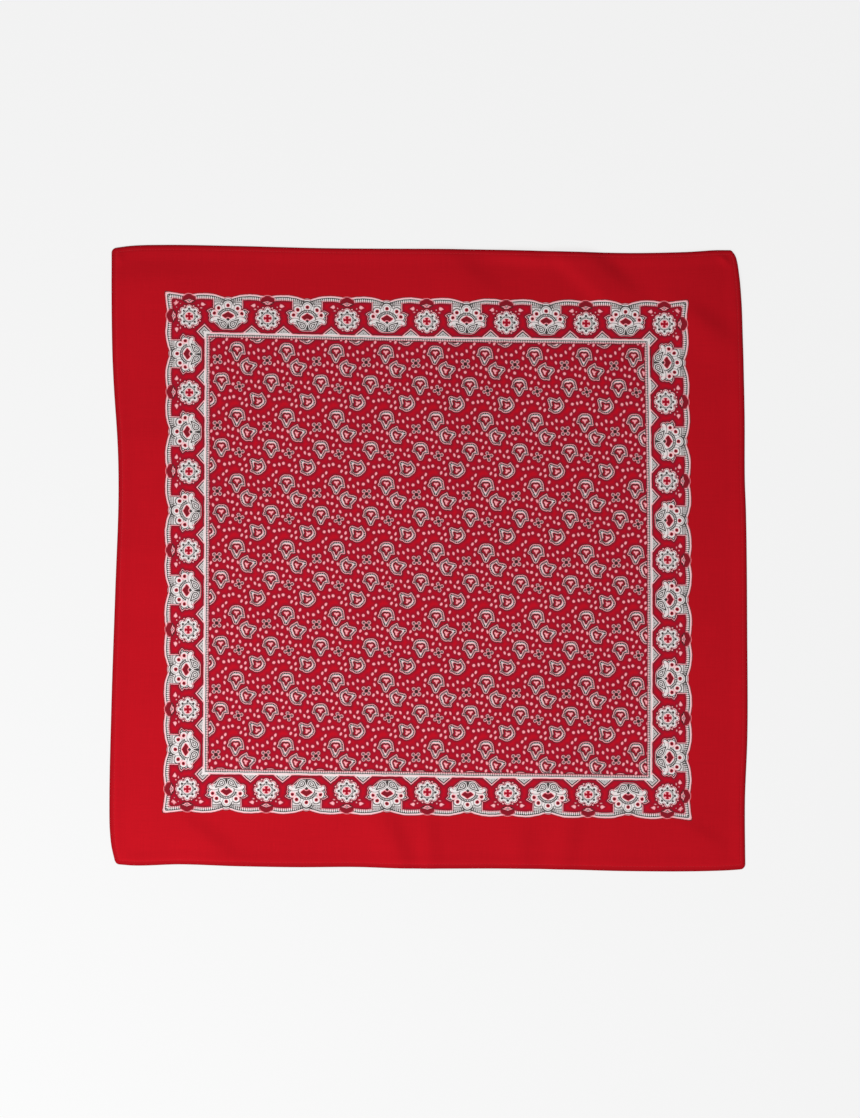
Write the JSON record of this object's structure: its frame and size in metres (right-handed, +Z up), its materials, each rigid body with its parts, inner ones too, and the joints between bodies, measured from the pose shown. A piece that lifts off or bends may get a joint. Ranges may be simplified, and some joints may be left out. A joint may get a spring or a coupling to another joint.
{
  "type": "square cotton bandana laid flat",
  "caption": "Square cotton bandana laid out flat, with narrow turned hems and soft edge folds: a head, neck or pocket cloth.",
  "frame": {"origin": "centre of the outline's box on the surface the cloth rests on", "axes": "+Z up out of the printed face; +Y towards the top hem and +X towards the right hem, as the cloth lies"},
  "size_m": [0.5616, 0.5507, 0.0046],
  "materials": {
    "printed_cotton": "matt plain-weave cotton, red ground with a white and dark paisley print",
    "turned_hem": "matt plain-weave cotton, unprinted red, turned under and stitched"
  },
  "bodies": {
    "root": {"cloth_square": "printed_cotton", "hem_top": "turned_hem", "hem_bottom": "turned_hem", "hem_left": "turned_hem", "hem_right": "turned_hem"}
  },
  "joints": []
}
